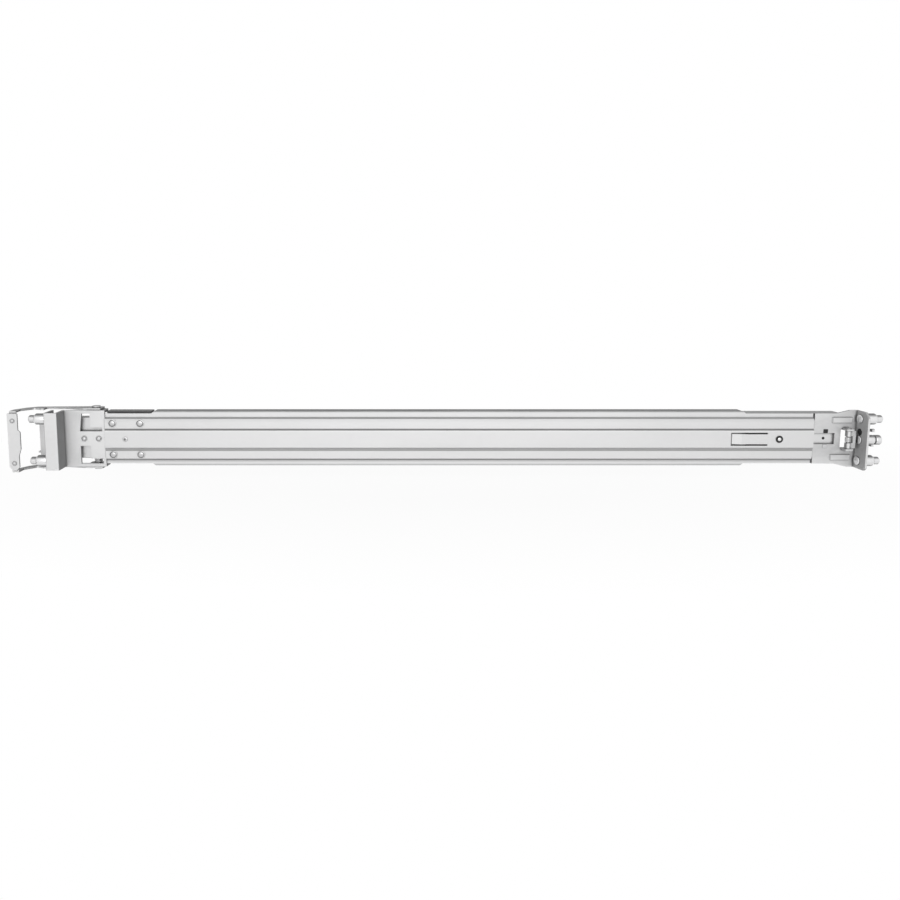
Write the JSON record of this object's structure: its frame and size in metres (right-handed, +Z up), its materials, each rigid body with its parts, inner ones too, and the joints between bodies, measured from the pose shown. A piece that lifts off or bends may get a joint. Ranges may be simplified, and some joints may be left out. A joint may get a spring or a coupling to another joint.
{
  "type": "sliding server rail",
  "caption": "Telescopic ball-bearing rail that carries a server in a rack: square-hole pins and hooked latch at the front, sliding pinned bracket at the rear.",
  "frame": {"origin": "centre of the front mounting plane, midway between the two front pins", "axes": "+X along the rail to the rear of the rack, -Y outboard to the rack post's side, +Z up"},
  "size_m": [0.6514, 0.0264, 0.0486],
  "materials": {
    "zinc_sheet": "bright zinc plate",
    "slide_steel": "zinc plate",
    "turned_steel": "turned and plated",
    "spring_steel": "plated wire",
    "black_rubber": "matte"
  },
  "bodies": {
    "rail": {"support_channel": "zinc_sheet", "front_bracket": "zinc_sheet", "front_pins": "turned_steel", "bracket_rivets": "turned_steel", "centre_screw": "turned_steel", "band_rivets": "turned_steel", "guide_rivet": "turned_steel", "outer_slide_member": "slide_steel", "closing_bumper": "black_rubber", "latch_pivots": "turned_steel", "front_latch_springs": "spring_steel"},
    "front_latch": {"latch_arm_upper": "zinc_sheet", "latch_arm_lower": "zinc_sheet", "latch_pull_plate": "zinc_sheet", "pull_plate_rivets": "turned_steel"},
    "rear_extension": {"extension_plate": "zinc_sheet", "rear_pins": "turned_steel", "rear_centre_pin": "turned_steel", "rear_hinge_pin": "turned_steel", "rear_latch_spring": "spring_steel"},
    "rear_hook": {"rear_latch": "zinc_sheet"},
    "outer_cage": {"outer_ball_cage": "slide_steel"},
    "middle_member": {"middle_slide_member": "slide_steel"},
    "inner_cage": {"inner_ball_cage": "slide_steel"},
    "inner_member": {"inner_slide_member": "slide_steel", "lever_rivet": "turned_steel"},
    "lever": {"release_lever": "slide_steel"}
  },
  "joints": [
    {"name": "front_latch_hinge", "type": "hinge", "parent": "rail", "child": "front_latch", "pos_m": [0.0327, 0.0102, 0], "axis": [0, 0, -1], "range_deg": [0, 12], "stiffness_Nm_per_rad": 0.4, "springref_deg": -11.46},
    {"name": "rear_extension_slide", "type": "slide", "parent": "rail", "child": "rear_extension", "axis": [1, 0, 0], "range_m": [0, 0.3048]},
    {"name": "rear_latch_hinge", "type": "hinge", "parent": "rear_extension", "child": "rear_hook", "pos_m": [0.6006, 0.0009, 0], "axis": [0, 0, 1], "range_deg": [0, 9], "stiffness_Nm_per_rad": 0.05, "springref_deg": -11.46},
    {"name": "middle_slide", "type": "slide", "parent": "rail", "child": "middle_member", "axis": [-1, 0, 0], "range_m": [0, 0.43]},
    {"name": "outer_cage_slide", "type": "slide", "parent": "rail", "child": "outer_cage", "axis": [-1, 0, 0], "range_m": [0, 0.215]},
    {"name": "inner_slide", "type": "slide", "parent": "middle_member", "child": "inner_member", "axis": [-1, 0, 0], "range_m": [0, 0.43]},
    {"name": "inner_cage_slide", "type": "slide", "parent": "middle_member", "child": "inner_cage", "axis": [-1, 0, 0], "range_m": [0, 0.215]},
    {"name": "release_lever_hinge", "type": "hinge", "parent": "inner_member", "child": "lever", "pos_m": [0.15, 0.0147, 0], "axis": [0, 1, 0], "range_deg": [0, 4], "stiffness_Nm_per_rad": 0.05, "springref_deg": -5.73}
  ],
  "couplings": [
    {"joint": "outer_cage_slide", "follows": "middle_slide", "ratio": 0.5},
    {"joint": "inner_cage_slide", "follows": "inner_slide", "ratio": 0.5}
  ]
}
